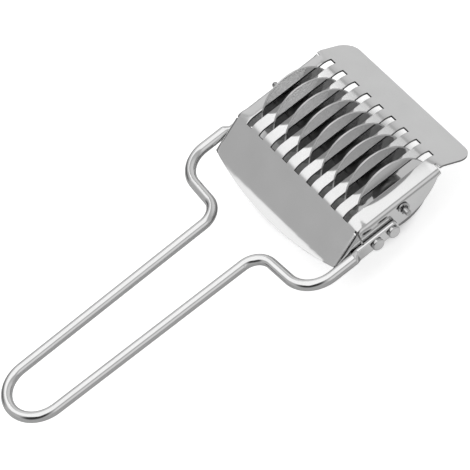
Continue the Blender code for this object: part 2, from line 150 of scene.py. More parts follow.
# Places that follow
SIDES = ((-1, "left"), (1, "right"))
MIDDLE_BLADE = (BLADE_COUNT - 1) / 2
HALF_WIDTH = COVER_WIDTH / 2
LIP_HALF_WIDTH = HALF_WIDTH - LIP_INSET
FOLD_ANGLE = math.radians(FOLD_DEG)
FLAT_HALF = FLAT_LENGTH / 2
SLOT_HALF_LENGTH = FLAT_HALF + FOLD_RADIUS * math.sin(FOLD_ANGLE)
FOLD_DROP = FOLD_RADIUS * (1 - math.cos(FOLD_ANGLE))
FLAT_SIDE = HALF_WIDTH - SIDE_BEND
LIP_SLIT_START = HALF_WIDTH - LIP_SLIT_INNER
END_SLOT_EDGE = MIDDLE_BLADE * SLOT_PITCH + SLOT_WIDTH / 2
END_BAR_WIDTH = FLAT_SIDE - END_SLOT_EDGE
ARM_OFFSET = HALF_WIDTH + ROD_RADIUS + 2 * CLEARANCE
AXLE_HALF_LENGTH = HALF_WIDTH + AXLE_STICK_OUT
FLAT_MIDDLE = HALF_WIDTH + CLEARANCE + FLAT_THICKNESS / 2
HANDLE_REACH = HANDLE_END_CENTRE + HANDLE_END_HALF + ROD_RADIUS
MIDDLE = Vector((0, (HANDLE_REACH - LIP_REACH) / 2, BLADE_RADIUS + DRUM_BELOW))
DRUM = MIDDLE + Vector((0, DRUM_AHEAD, -DRUM_BELOW))
AXLE = MIDDLE + Vector((0, -AXLE_BACK, AXLE_ABOVE))
BORE_RADIUS = (DRUM - AXLE).length + AXLE_RADIUS + CLEARANCE

# Material slots of the cover's mesh
FACE_SLOT = 0
EDGE_SLOT = 1

# Steel: noise scales per metre and detail, greys and roughnesses from low to high, relief
RELIEF_DEPTH = 0.0001
FINE = 3.0
PLAIN = 2.0
SHEET_LINES = (40, 2600, 2600)
SHEET_CLOUD = 90.0
SHEET_GREY = (0.58, 0.64)
SHEET_ROUGHNESS = (0.09, 0.15)
SHEET_RELIEF = 0.02
EDGE_MARKS = (3200, 3200, 160)
EDGE_CLOUD = 400.0
# The edges' dark grey is partly the cut steel's own and partly painted shade along the sheet's
# edges and roundings.
EDGE_GREY_AND_SHADE = (0.16, 0.24)
EDGE_ROUGHNESS = (0.30, 0.45)
EDGE_RELIEF = 0.15
ROD_LINES = (2600, 26, 1)
ROD_CLOUD = 120.0
ROD_GREY = (0.60, 0.66)
ROD_ROUGHNESS = (0.08, 0.13)
ROD_RELIEF = 0.03
LINES_ROUGHNESS = (-0.02, 0.03)
STUD_DENTS = 900.0
STUD_GRAIN = 2500.0
STUD_GREY = (0.54, 0.62)
STUD_ROUGHNESS = (0.14, 0.24)
STUD_RELIEF = 0.25
BLADE_RINGS = 4000.0
BLADE_RINGS_ALONG = 30.0
BLADE_CLOUD = 110.0
BLADE_GREY = (0.59, 0.64)
BLADE_ROUGHNESS = (0.04, 0.09)
BLADE_RELIEF = 0.03
RIM_BLEND = 0.00005
RIM_PALER = 0.03
RIM_ROUGHER = 0.16
PIN_LINES_ALONG = 5000.0
PIN_LINES = 3000.0
PIN_CLOUD = 300.0
PIN_GREY = (0.38, 0.46)
PIN_ROUGHNESS = (0.18, 0.30)
PIN_RELIEF = 0.08
RING_LINES_ALONG = 4000.0
RING_LINES = 2500.0
RING_CLOUD = 260.0
SPACER_GREY = (0.26, 0.32)
COLLAR_GREY = (0.42, 0.50)
RING_ROUGHNESS = (0.42, 0.54)
RING_RELIEF = 0.05

# Camera of the photograph
CAMERA_LENS = 301.0648
CAMERA_SENSOR = 36.0
CAMERA_CLIP = (0.01, 20)
CAMERA_FROM_MIDDLE = (0.9578015, -0.2542624, 1.1225444)
CAMERA_TURN_DEG = (37.353282887, 18.531211892, 55.541259021)

# Studio walls: direction, degrees within which a wall is full and beyond which it is gone, and
# the light level that it adds; white is 1
STUDIO_LEVEL = 0.62
FAR_WALL = ((-0.3, 0.95, 0.2), 20, 60, 0.26)
LEFT_WALL = ((-0.88, 0.17, 0.44), 9, 24, 0.30)
RIGHT_WALL = ((0.90, 0.17, 0.40), 11, 23, 0.36)
CAMERA_SIDE_DARK = ((0.42, -0.68, 0.60), 18, 40, -0.56)
LOW_LEFT_DARK = ((-0.95, -0.28, 0.12), 12, 30, -0.45)

# Lamp over the tool, with a hotter spot in it, and the floor
LAMP_HEIGHT = 0.5
LAMP_SPAN_X = (-0.56, 0.26)
LAMP_SPAN_Y = (-0.50, 0.30)
LAMP_LEVEL = 0.80
LAMP_LEFT_FADE = (-0.54, -0.47)
LAMP_FAR_FADE = (0.155, 0.105)
LAMP_SPOT = (-0.467, 0.119, 0)
LAMP_SPOT_REACH = 0.020
LAMP_SPOT_LEVEL = 4.5
LAMP_SPOT_SOFT = 1
FLOOR_SPAN = (-4, 4)
FLOOR_DROP = 0.0003
FLOOR_GREY = 0.62
FLOOR_LIFT = 0.74
# Floor glow that only glossy rays see, beside the tool and under the cover: painted light in the
# steel's reflections.
FLOOR_SIDE_PAINTED_GLOW = 0.38
FLOOR_UNDER_PAINTED_GLOW = 0.10
FLOOR_SIDE_CENTRE = (0.060, 0.008, 0)
FLOOR_SIDE_REACH = (0.032, 0.040, 1)
FLOOR_SIDE_SOFT = 0.6
# Oval under the cover where the floor gets no lift for the camera: painted shadow under the tool.
FLOOR_PAINTED_SHADOW_CENTRE = (-0.010, -0.006, 0)
FLOOR_PAINTED_SHADOW_REACH = (0.048, 0.033, 1)
FLOOR_PAINTED_SHADOW_SOFT = 0.25


def add_piece(name, mesh, body, nodes, material):
    """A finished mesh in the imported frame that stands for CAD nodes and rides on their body."""
    piece = bpy.data.objects.new(name, mesh)
    bpy.context.scene.collection.objects.link(piece)
    if not mesh.materials:
        mesh.materials.append(material)
    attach(piece, body)
    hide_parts(*nodes)


def finished(bm, name):
    """A mesh made from what has been built, which is then freed."""
    mesh = bpy.data.meshes.new(name)
    bm.to_mesh(mesh)
    bm.free()
    return mesh


def apply_modifiers(mesh, build):
    """The mesh with the modifiers that build() puts on a passing object."""
    mesh.shade_smooth()
    holder = bpy.data.objects.new("holder", mesh)
    bpy.context.scene.collection.objects.link(holder)
    helpers = build(holder) or []
    bpy.context.view_layer.update()
    graph = bpy.context.evaluated_depsgraph_get()
    made = bpy.data.meshes.new_from_object(holder.evaluated_get(graph))
    for thing in [holder] + helpers:
        bpy.data.objects.remove(thing, do_unlink=True)
    return made


def bevel(holder, width, material=-1):
    """Rounds the sharp edges; with -1 the rounding keeps the material of the faces beside it."""
    edge = holder.modifiers.new("edge", "BEVEL")
    edge.width = width
    edge.segments = BEVEL_SEGMENTS
    edge.limit_method = "ANGLE"
    edge.angle_limit = math.radians(BEVEL_DEG)
    edge.material = material
    flat = holder.modifiers.new("flat", "WEIGHTED_NORMAL")
    flat.weight = BEVEL_WEIGHT


def turned_mesh(name, points, closed, steps, centre, along=0.0, side=1, sharp_deg=SHARP_DEG):
    """A profile of (radius, distance along) turned about the X direction through centre."""
    bm = bmesh.new()
    rings = []
    for radius, distance in points:
        x = centre.x + along + side * distance
        if radius == 0:
            rings.append([bm.verts.new((x, centre.y, centre.z))])
            continue
        ring = []
        for step in range(steps):
            angle = 2 * math.pi * step / steps
            ring.append(bm.verts.new((x, centre.y + radius * math.cos(angle),
                                      centre.z + radius * math.sin(angle))))
        rings.append(ring)
    pairs = list(zip(rings, rings[1:]))
    if closed:
        pairs.append((rings[-1], rings[0]))
    for first, second in pairs:
        for step in range(steps):
            following = (step + 1) % steps
            if len(first) == 1:
                bm.faces.new((first[0], second[step], second[following]))
            elif len(second) == 1:
                bm.faces.new((first[step], second[0], first[following]))
            else:
                bm.faces.new((first[step], second[step], second[following], first[following]))
    bmesh.ops.recalc_face_normals(bm, faces=bm.faces)
    mesh = finished(bm, name)
    mesh.shade_smooth()
    mesh.set_sharp_from_angle(angle=math.radians(sharp_deg))
    return mesh


def fold_height(y):
    """Height of the cover's outer face over the handle's plane, along its side view."""
    beyond = abs(y) - FLAT_HALF
    if beyond <= 0:
        return COVER_RISE
    if beyond <= FOLD_RADIUS * math.sin(FOLD_ANGLE):
        return COVER_RISE - FOLD_RADIUS + math.sqrt(FOLD_RADIUS ** 2 - beyond ** 2)
    run = abs(y) - SLOT_HALF_LENGTH
    height = COVER_RISE - FOLD_DROP - run * math.tan(FOLD_ANGLE)
    if -y > APRON_CURL_START:
        curl = -y - APRON_CURL_START
        height += curl * (math.tan(FOLD_ANGLE) - math.tan(math.radians(APRON_CURL_DEG)))
    return height


def end_share(y):
    """How much of the end bars' outward slope is left at a place along the cover."""
    inside = min(1, max(0, (SLOT_HALF_LENGTH - abs(y)) / END_BAR_FADE))
    return inside * inside * (3 - 2 * inside)


def end_drop(x, y):
    """How far the end bars, beyond the last slots, curve down below the flat sheet."""
    share = max(0, abs(x) - END_SLOT_EDGE) / END_BAR_WIDTH
    return END_BAR_DROP * share ** 2 * end_share(y)


def bend_point(share, y):
    """How far out and down the side bend has come; it starts with the end bar's slope."""
    start = math.atan(2 * END_BAR_DROP / END_BAR_WIDTH * end_share(y))
    radius = SIDE_BEND / (1 - math.sin(start))
    angle = start + (math.pi / 2 - start) * share
    out = radius * (math.sin(angle) - math.sin(start))
    down = radius * (math.cos(start) - math.cos(angle))
    return out, end_drop(FLAT_SIDE, y) + down


def side_bottom(y):
    """Lower edge of the side plates: bowed towards the lip, square towards the handle."""
    along = y + SIDE_BOW_START
    if along > 0:
        bottom = SIDE_BOW_RADIUS - SIDE_DEPTH - math.sqrt(SIDE_BOW_RADIUS ** 2 - along ** 2)
        return min(bottom, fold_height(y) - bend_point(1, y)[1] - SIDE_LEAST)
    into_corner = -y - (SLOT_HALF_LENGTH - SIDE_REAR_CORNER)
    if into_corner <= 0:
        return -SIDE_DEPTH
    rise = math.sqrt(max(0, SIDE_REAR_CORNER ** 2 - into_corner ** 2))
    return -SIDE_DEPTH + SIDE_REAR_CORNER - rise


def ear_bottom(y):
    start = SLOT_HALF_LENGTH + EAR_SLIT
    share = (-y - start) / (APRON_SIDE_REACH - start)
    return fold_height(y) - EAR_DEPTH + share * (EAR_DEPTH - EAR_TIP_DEPTH)


def apron_edge(x):
    return APRON_REACH - (APRON_REACH - APRON_SIDE_REACH) * (x / HALF_WIDTH) ** 2


def lip_half_width(y):
    into_corner = y - (LIP_REACH - LIP_CORNER)
    if into_corner <= 0:
        return LIP_HALF_WIDTH
    return LIP_HALF_WIDTH - LIP_CORNER + math.sqrt(max(0, LIP_CORNER ** 2 - into_corner ** 2))


def spread(start, end, steps):
    """Evenly spaced values after start, up to end."""
    return [start + (end - start) * step / steps for step in range(1, steps + 1)]


def cover_rows():
    """Places along the cover's side view, from the apron's edge to the lip's edge."""
    ear_end = SLOT_HALF_LENGTH + EAR_SLIT
    lip_slit_end = SIDE_FRONT + LIP_SLIT
    rows = [-APRON_REACH]
    rows += spread(-APRON_REACH, -ear_end, APRON_STEPS)
    rows += [-SLOT_HALF_LENGTH]
    rows += spread(-SLOT_HALF_LENGTH, -FLAT_HALF, FOLD_STEPS)
    rows += spread(-FLAT_HALF, FLAT_HALF, SIDE_STEPS)
    rows += spread(FLAT_HALF, SIDE_FRONT, FOLD_STEPS // 3)
    rows += [lip_slit_end]
    rows += spread(lip_slit_end, SLOT_HALF_LENGTH, FOLD_STEPS // 2)
    rows += spread(SLOT_HALF_LENGTH, LIP_REACH - LIP_CORNER, LIP_STEPS // 2)
    for step in range(1, LIP_STEPS + 1):
        angle = math.pi / 2 * step / LIP_STEPS
        rows.append(LIP_REACH - LIP_CORNER + LIP_CORNER * math.sin(angle))
    return rows


def cover_columns():
    """Places across the flat sheet from its middle to one side, with every slot's edges."""
    columns = []
    for number in range(BLADE_COUNT):
        middle = (number - MIDDLE_BLADE) * SLOT_PITCH
        columns += [middle - SLOT_WIDTH / 2, middle + SLOT_WIDTH / 2]
    outer = spread(END_SLOT_EDGE, LIP_SLIT_START, END_STEPS) + [FLAT_SIDE]
    return [-x for x in reversed(outer)] + columns + outer


def sheet_point(column, row, columns, rows):
    """Where a grid place lies once the sheet is bent: flat, round the side bend, then down."""
    y = rows[row]
    last = len(columns) - 1
    over = max(-column, column - last, 0)
    side = -1 if column < 0 else 1
    x = columns[min(max(column, 0), last)]
    if y > SIDE_FRONT + LIP_SLIT / 2:
        x += side * (LIP_HALF_WIDTH - abs(x)) * over / (FOLD_STEPS + 1)
        x *= lip_half_width(y) / LIP_HALF_WIDTH
        return Vector((x, y, fold_height(y) - end_drop(x, y)))
    down = end_drop(x, y)
    if over:
        out, down = bend_point(min(over, FOLD_STEPS) / FOLD_STEPS, y)
        x += side * out
    if y < -SLOT_HALF_LENGTH - EAR_SLIT / 2:
        start = SLOT_HALF_LENGTH + EAR_SLIT
        share = (-y - start) / (APRON_REACH - start)
        y = -start - share * (apron_edge(x) - start)
    if over <= FOLD_STEPS:
        return Vector((x, y, fold_height(y) - down))
    bottom = ear_bottom(y) if y < -SLOT_HALF_LENGTH - EAR_SLIT / 2 else side_bottom(y)
    return Vector((x, y, bottom))


def in_slot(x):
    number = round(x / SLOT_PITCH + MIDDLE_BLADE)
    if not 0 <= number < BLADE_COUNT:
        return False
    return abs(x - (number - MIDDLE_BLADE) * SLOT_PITCH) < SLOT_WIDTH / 2


def is_open(column, row, columns, rows):
    """True for the grid cells of the slots and of the slits beside the side plates."""
    middle = (rows[row] + rows[row + 1]) / 2
    last = len(columns) - 1
    if column < 0 or column >= last:
        return (SIDE_FRONT < middle < SIDE_FRONT + LIP_SLIT
                or -SLOT_HALF_LENGTH - EAR_SLIT < middle < -SLOT_HALF_LENGTH)
    x = (columns[column] + columns[column + 1]) / 2
    if abs(x) > LIP_SLIT_START:
        return SIDE_FRONT < middle < SIDE_FRONT + LIP_SLIT
    return abs(middle) < SLOT_HALF_LENGTH and in_slot(x)


def cover_surface():
    """The bent sheet's outer face as one open surface."""
    rows = cover_rows()
    columns = cover_columns()
    first = -(FOLD_STEPS + 1)
    end = len(columns) + FOLD_STEPS
    bm = bmesh.new()
    grid = {}
    for column in range(first, end + 1):
        for row in range(len(rows)):
            place = sheet_point(column, row, columns, rows)
            grid[column, row] = bm.verts.new(place + MIDDLE)
    for column in range(first, end):
        for row in range(len(rows) - 1):
            if not is_open(column, row, columns, rows):
                bm.faces.new((grid[column, row], grid[column + 1, row],
                              grid[column + 1, row + 1], grid[column, row + 1]))
    loose = [vert for vert in bm.verts if not vert.link_faces]
    bmesh.ops.delete(bm, geom=loose, context="VERTS")
    return finished(bm, "cover_sheet")


def hole_cutter(holder, radius, place):
    """Cuts a round hole along X; returns the cutter so that it can be removed."""
    bm = bmesh.new()
    bmesh.ops.create_cone(bm, cap_ends=True, segments=PIN_STEPS, radius1=radius, radius2=radius,
                          depth=2 * COVER_WIDTH, matrix=Matrix.Rotation(math.pi / 2, 4, "Y"))
    cutter = bpy.data.objects.new("cutter", finished(bm, "cutter"))
    cutter.location = place
    bpy.context.scene.collection.objects.link(cutter)
    cut = holder.modifiers.new("hole", "BOOLEAN")
    cut.operation = "DIFFERENCE"
    cut.object = cutter
    return cutter


def rivet_centres():
    return [MIDDLE + Vector((0, -back, -FLAT_DROP)) for back in RIVET_PLACES]


def rivet_holes(holder):
    return [hole_cutter(holder, RIVET_RADIUS + CLEARANCE, place) for place in rivet_centres()]


def cover_modifiers(holder):
    """Thickness towards the inside, then the holes; rims and rounded edges get the cut steel, whose
    dark grey is partly painted shade.
    """
    solid = holder.modifiers.new("sheet", "SOLIDIFY")
    solid.thickness = SHEET
    solid.offset = -1
    solid.use_even_offset = True
    solid.material_offset_rim = EDGE_SLOT - FACE_SLOT
    cutters = [hole_cutter(holder, AXLE_RADIUS + CLEARANCE, AXLE)] + rivet_holes(holder)
    # The rounded edges take the dark edge material too: painted shade where they would catch light.
    bevel(holder, SHEET_ROUND, EDGE_SLOT)
    return cutters


def make_cover(material, edge_and_shade_material):
    surface = cover_surface()
    surface.materials.append(material)
    surface.materials.append(edge_and_shade_material)
    mesh = apply_modifiers(surface, cover_modifiers)
    add_piece("cover_sheet", mesh, "frame", ["cover"], material)


def rounded_corner(before, corner, after, radius):
    """Points of an arc that rounds a corner of a flat path."""
    into = (before - corner).normalized()
    out = (after - corner).normalized()
    half = into.angle(out) / 2
    reach = radius / math.tan(half)
    middle = corner + (into + out).normalized() * (radius / math.sin(half))
    start = corner + into * reach - middle
    end = corner + out * reach - middle
    sweep = start.angle_signed(end)
    points = []
    for step in range(ARC_STEPS + 1):
        turned = start.copy()
        turned.rotate(Matrix.Rotation(-sweep * step / ARC_STEPS, 2))
        points.append(middle + turned)
    return points


def handle_path():
    """The rod's centre line from the right-hand end round the grip to the left-hand one."""
    tip = Vector((ARM_OFFSET, -FLAT_FRONT))
    shoulder = Vector((ARM_OFFSET, -SHOULDER_BACK))
    neck = Vector((NECK_HALF, -NECK_BACK))
    grip = Vector((HANDLE_END_HALF, -HANDLE_END_CENTRE))
    places = spread(-FLAT_FRONT, -FLAT_FRONT - FLAT_END_ROUND, FOLD_STEPS)
    places += spread(-FLAT_FRONT - FLAT_END_ROUND, -FLAT_BACK, ARC_STEPS)
    places += spread(-FLAT_BACK, -FLAT_BACK - FLAT_TAPER, ARC_STEPS)
    half = [tip] + [Vector((ARM_OFFSET, y)) for y in places]
    half += rounded_corner(tip, shoulder, neck, SHOULDER_BEND)
    half += rounded_corner(shoulder, neck, grip, NECK_BEND)
    half += [neck.lerp(grip, step / ARC_STEPS) for step in range(2, ARC_STEPS)]
    for step in range(ARC_STEPS + 1):
        angle = math.pi / 2 * step / ARC_STEPS
        half.append(Vector((HANDLE_END_HALF * math.cos(angle),
                            -HANDLE_END_CENTRE - HANDLE_END_HALF * math.sin(angle))))
    return half + [Vector((-point.x, point.y)) for point in reversed(half[:-1])]


def pressed(point):
    """A rod's point after its two ends are pressed flat against the cover's sides."""
    back = -point.y
    if back > FLAT_BACK + FLAT_TAPER:
        return point
    side = 1 if point.x > 0 else -1
    across = (point.x * side - ARM_OFFSET) / ROD_RADIUS
    up = point.z / ROD_RADIUS
    share = min(1, (FLAT_BACK + FLAT_TAPER - back) / FLAT_TAPER)
    share = share * share * (3 - 2 * share)
    end = min(1, max(0, (back - FLAT_FRONT) / FLAT_END_ROUND))
    tip = FLAT_TIP_SHARE + (1 - FLAT_TIP_SHARE) * math.sqrt(end * (2 - end))
    flat_across = max(-1, min(1, across / FLAT_SIDE_SHARE)) * FLAT_THICKNESS / 2
    x = (1 - share) * (ARM_OFFSET + across * ROD_RADIUS) + share * (FLAT_MIDDLE + flat_across)
    z = up * ((1 - share) * ROD_RADIUS + share * tip * FLAT_HEIGHT / 2) - share * FLAT_DROP
    return Vector((side * x, point.y, z))


def handle_mesh():
    """The rod as a tube of rings, with a map that runs round it and along it."""
    path = handle_path()
    girth = 2 * math.pi * ROD_RADIUS / ROD_SIDES
    bm = bmesh.new()
    layer = bm.loops.layers.uv.new("along_rod")
    rings = []
    lengths = []
    travelled = 0.0
    for number, point in enumerate(path):
        before = path[max(number - 1, 0)]
        after = path[min(number + 1, len(path) - 1)]
        heading = (after - before).normalized()
        across = Vector((-heading.y, heading.x))
        if number:
            travelled += (point - path[number - 1]).length
        ring = []
        for side in range(ROD_SIDES):
            angle = 2 * math.pi * side / ROD_SIDES
            reach = across * (ROD_RADIUS * math.cos(angle))
            place = Vector((point.x + reach.x, point.y + reach.y, ROD_RADIUS * math.sin(angle)))
            ring.append(bm.verts.new(pressed(place) + MIDDLE))
        rings.append(ring)
        lengths.append(travelled)
    for number in range(len(rings) - 1):
        for side in range(ROD_SIDES):
            following = (side + 1) % ROD_SIDES
            face = bm.faces.new((rings[number][side], rings[number + 1][side],
                                 rings[number + 1][following], rings[number][following]))
            corners = ((side, number), (side, number + 1), (side + 1, number + 1),
                       (side + 1, number))
            for loop, (around, along) in zip(face.loops, corners):
                loop[layer].uv = (around * girth, lengths[along])
    bm.faces.new(rings[0])
    bm.faces.new(rings[-1])
    bmesh.ops.recalc_face_normals(bm, faces=bm.faces)
    return finished(bm, "handle_rod")


def handle_modifiers(holder):
    cutters = rivet_holes(holder)
    bevel(holder, CLIP_ROUND)
    return cutters


def make_handle(material):
    mesh = apply_modifiers(handle_mesh(), handle_modifiers)
    return add_piece("handle_rod", mesh, "frame", ["handle"], material)


def blade_profile():
    """Half of the section, then its mirror image, with the rim's edges eased."""
    half = BLADE_THICKNESS / 2
    grind = BLADE_RADIUS - BLADE_GRIND
    shoulder = half - BLADE_ROUND / 8
    rim = BLADE_EDGE / 2 + BLADE_ROUND / 4
    tip = BLADE_EDGE / 4
    right = [(BORE_RADIUS, half), (grind - BLADE_ROUND, half), (grind, shoulder),
             (BLADE_RADIUS - BLADE_ROUND, rim), (BLADE_RADIUS, tip)]
    return right + [(radius, -along) for radius, along in reversed(right)]


def spacer_profile(length):
    half = length / 2
    return [(BORE_RADIUS, half), (SPACER_RADIUS - SPACER_CHAMFER, half),
            (SPACER_RADIUS, half - SPACER_CHAMFER), (SPACER_RADIUS, SPACER_CHAMFER - half),
            (SPACER_RADIUS - SPACER_CHAMFER, -half), (BORE_RADIUS, -half)]


def make_drum(blade_finish, spacer_finish, collar_finish):
    for number in range(BLADE_COUNT):
        along = (number - MIDDLE_BLADE) * BLADE_PITCH - DRUM_SHIFT
        mesh = turned_mesh(f"disc_{number + 1}", blade_profile(), True, BLADE_STEPS, DRUM, along,
                           sharp_deg=BLADE_SHARP_DEG)
        add_piece(f"disc_{number + 1}", mesh, "drum", [f"blade_{number + 1}"], blade_finish)
    length = BLADE_PITCH - BLADE_THICKNESS - 2 * CLEARANCE
    for number in range(BLADE_COUNT - 1):
        along = (number + 1 - BLADE_COUNT / 2) * BLADE_PITCH - DRUM_SHIFT
        mesh = turned_mesh(f"ring_{number + 1}", spacer_profile(length), True, PIN_STEPS, DRUM,
                           along)
        add_piece(f"ring_{number + 1}", mesh, "drum", [f"spacer_{number + 1}"], spacer_finish)
    inner = MIDDLE_BLADE * BLADE_PITCH + BLADE_THICKNESS / 2 + CLEARANCE
    outer = HALF_WIDTH - SHEET - CLEARANCE - COLLAR_END_PLAY
    for side, hand in SIDES:
        along = side * (inner + outer) / 2 - DRUM_SHIFT
        mesh = turned_mesh(f"end_ring_{hand}", spacer_profile(outer - inner), True, PIN_STEPS,
                           DRUM, along)
        add_piece(f"end_ring_{hand}", mesh, "drum", [f"end_collar_{hand}"], collar_finish)


def axle_profile():
    groove_end = HALF_WIDTH + CLIP_THICKNESS + 2 * CLEARANCE
    neck = AXLE_RADIUS - GROOVE_DEPTH
    ease = AXLE_CHAMFER / AXLE_CHAMFER_EASE
    right = [(0, AXLE_HALF_LENGTH), (AXLE_RADIUS - AXLE_CHAMFER, AXLE_HALF_LENGTH),
             (AXLE_RADIUS - ease, AXLE_HALF_LENGTH - ease),
             (AXLE_RADIUS, AXLE_HALF_LENGTH - AXLE_CHAMFER), (AXLE_RADIUS, groove_end),
             (neck, groove_end), (neck, HALF_WIDTH), (AXLE_RADIUS, HALF_WIDTH)]
    return right + [(radius, -along) for radius, along in reversed(right)]


def rivet_profile():
    """Head on the handle's flat end, shank through both sheets, foot inside the cover."""
    head_seat = HALF_WIDTH + CLEARANCE + FLAT_THICKNESS + CLEARANCE
    foot_seat = HALF_WIDTH - SHEET - CLEARANCE
    points = [(0, head_seat + RIVET_HEAD_HEIGHT)]
    for step in range(FOLD_STEPS + 1):
        angle = math.pi / 2 * step / FOLD_STEPS
        points.append((RIVET_HEAD_RADIUS + RIVET_SHOULDER * (math.sin(angle) - 1),
                       head_seat + RIVET_HEAD_HEIGHT + RIVET_SHOULDER * (math.cos(angle) - 1)))
    points += [(RIVET_HEAD_RADIUS, head_seat), (RIVET_RADIUS, head_seat), (RIVET_RADIUS, foot_seat),
               (RIVET_FOOT_RADIUS, foot_seat), (RIVET_FOOT_RADIUS, foot_seat - RIVET_FOOT_HEIGHT),
               (0, foot_seat - RIVET_FOOT_HEIGHT)]
    return points


def clip_outline():
    """A snap ring, open at its mouth, with three prongs that reach into the axle's groove."""
    inner = CLIP_RADIUS - CLIP_BAND
    grip = AXLE_RADIUS - GROOVE_DEPTH + CLEARANCE
    half_mouth = math.radians(CLIP_MOUTH_DEG) / 2
    turn = math.radians(CLIP_TURN_DEG)
    steps = 4 * ARC_STEPS
    span = 2 * math.pi - 2 * half_mouth
    prong_half = span / ARC_STEPS / 2
    outer_arc = []
    inner_arc = []
    for step in range(steps + 1):
        angle = half_mouth + span * step / steps
        near_prong = min(abs(angle - half_mouth), abs(angle - math.pi),
                         abs(angle - 2 * math.pi + half_mouth))
        radius = grip if near_prong <= prong_half else inner
        outer_arc.append((CLIP_RADIUS * math.cos(angle + turn),
                          CLIP_RADIUS * math.sin(angle + turn)))
        inner_arc.append((radius * math.cos(angle + turn), radius * math.sin(angle + turn)))
    return outer_arc + inner_arc[::-1]


def clip_mesh(name, side):
    middle = side * (HALF_WIDTH + CLEARANCE + CLIP_THICKNESS / 2)
    outline = clip_outline()
    bm = bmesh.new()
    faces = []
    for x in (middle - CLIP_THICKNESS / 2, middle + CLIP_THICKNESS / 2):
        faces.append([bm.verts.new(AXLE + Vector((x, across, up))) for across, up in outline])
    count = len(outline)
    for ring in faces:
        for step in range(count // 2 - 1):
            bm.faces.new((ring[step], ring[step + 1], ring[count - 2 - step],
                          ring[count - 1 - step]))
    for step in range(count):
        following = (step + 1) % count
        bm.faces.new((faces[0][step], faces[0][following], faces[1][following], faces[1][step]))
    bmesh.ops.recalc_face_normals(bm, faces=bm.faces)
    return finished(bm, name)


def clip_modifiers(holder):
    bevel(holder, CLIP_ROUND)


def make_pins(pin_finish, stud_finish):
    mesh = turned_mesh("axle_pin", axle_profile(), False, PIN_STEPS, AXLE)
    add_piece("axle_pin", mesh, "frame", ["axle"], pin_finish)
    for side, hand in SIDES:
        mesh = apply_modifiers(clip_mesh(f"snap_ring_{hand}", side), clip_modifiers)
        add_piece(f"snap_ring_{hand}", mesh, "frame", [f"axle_clip_{hand}"], pin_finish)
        for centre, place in zip(rivet_centres(), ("front", "rear")):
            name = f"stud_{hand}_{place}"
            mesh = turned_mesh(name, rivet_profile(), False, PIN_STEPS, centre, side=side)
            add_piece(name, mesh, "frame", [f"rivet_{hand}_{place}"], stud_finish)


class Nodes:
    """Short ways to add and join shader nodes."""

    def __init__(self, tree):
        self.tree = tree

    def add(self, kind, **settings):
        node = self.tree.nodes.new(kind)
        for name, value in settings.items():
            setattr(node, name, value)
        return node

    def join(self, source, target):
        self.tree.links.new(source, target)

    def math(self, operation, first, second=None):
        node = self.add("ShaderNodeMath", operation=operation)
        for socket, value in zip(node.inputs, (first, second)):
            if value is None:
                continue
            if isinstance(value, (int, float)):
                socket.default_value = value
            else:
                self.join(value, socket)
        return node.outputs[0]

    def stretched(self, source, scale):
        node = self.add("ShaderNodeMapping")
        node.inputs["Scale"].default_value = scale
        self.join(source, node.inputs["Vector"])
        return node.outputs["Vector"]

    def noise(self, vector, scale, detail):
        node = self.add("ShaderNodeTexNoise")
        node.inputs["Scale"].default_value = scale
        node.inputs["Detail"].default_value = detail
        self.join(vector, node.inputs["Vector"])
        return node.outputs["Fac"]

    def lines(self, first, second, detail):
        """Noise over two values, each given with its scale."""
        line = self.add("ShaderNodeCombineXYZ")
        for socket, (value, scale) in zip(("X", "Y"), (first, second)):
            self.join(self.math("MULTIPLY", value, scale), line.inputs[socket])
        return self.noise(line.outputs[0], 1.0, detail)

    def spread_to(self, value, low, high):
        """Carries a 0 to 1 value to the span from low to high."""
        node = self.add("ShaderNodeMapRange")
        node.inputs["To Min"].default_value = low
        node.inputs["To Max"].default_value = high
        self.join(value, node.inputs["Value"])
        return node.outputs["Result"]

    def fade(self, value, start, end):
        """0 where the value is at start, 1 where it is at end, smooth in between."""
        node = self.add("ShaderNodeMapRange", interpolation_type="SMOOTHSTEP")
        node.inputs["From Min"].default_value = start
        node.inputs["From Max"].default_value = end
        self.join(value, node.inputs["Value"])
        return node.outputs["Result"]

    def grey(self, value):
        node = self.add("ShaderNodeCombineColor")
        for socket in node.inputs:
            self.join(value, socket)
        return node.outputs[0]


def new_material(name):
    material = bpy.data.materials.new(name)
    material.use_nodes = True
    return material, Nodes(material.node_tree), material.node_tree.nodes["Principled BSDF"]


def steel(name):
    material, nodes, shader = new_material(name)
    shader.inputs["Metallic"].default_value = 1
    return material, nodes, shader


def glowing(name, grey):
    """A dull stage material of one grey, whose white glow is joined to its strength."""
    material, nodes, shader = new_material(name)
    shader.inputs["Base Color"].default_value = (grey, grey, grey, 1)
    shader.inputs["Specular IOR Level"].default_value = 0
    shader.inputs["Emission Color"].default_value = (1, 1, 1, 1)
    return material, nodes, shader


def finish_steel(nodes, shader, grey, roughness, height, strength):
    nodes.join(nodes.grey(grey), shader.inputs["Base Color"])
    nodes.join(roughness, shader.inputs["Roughness"])
    relief = nodes.add("ShaderNodeBump")
    relief.inputs["Strength"].default_value = strength
    relief.inputs["Distance"].default_value = RELIEF_DEPTH
    nodes.join(height, relief.inputs["Height"])
    nodes.join(relief.outputs["Normal"], shader.inputs["Normal"])


def sheet_steel():
    """Polished sheet: faint rolling lines across the tool and soft smudges."""
    material, nodes, shader = steel("polished_sheet")
    place = nodes.add("ShaderNodeTexCoord").outputs["Object"]
    lines = nodes.noise(nodes.stretched(place, SHEET_LINES), 1.0, FINE)
    cloud = nodes.noise(place, SHEET_CLOUD, FINE)
    rough = nodes.math("ADD", nodes.spread_to(cloud, *SHEET_ROUGHNESS),
                       nodes.spread_to(lines, *LINES_ROUGHNESS))
    finish_steel(nodes, shader, nodes.spread_to(cloud, *SHEET_GREY), rough, lines, SHEET_RELIEF)
    return material


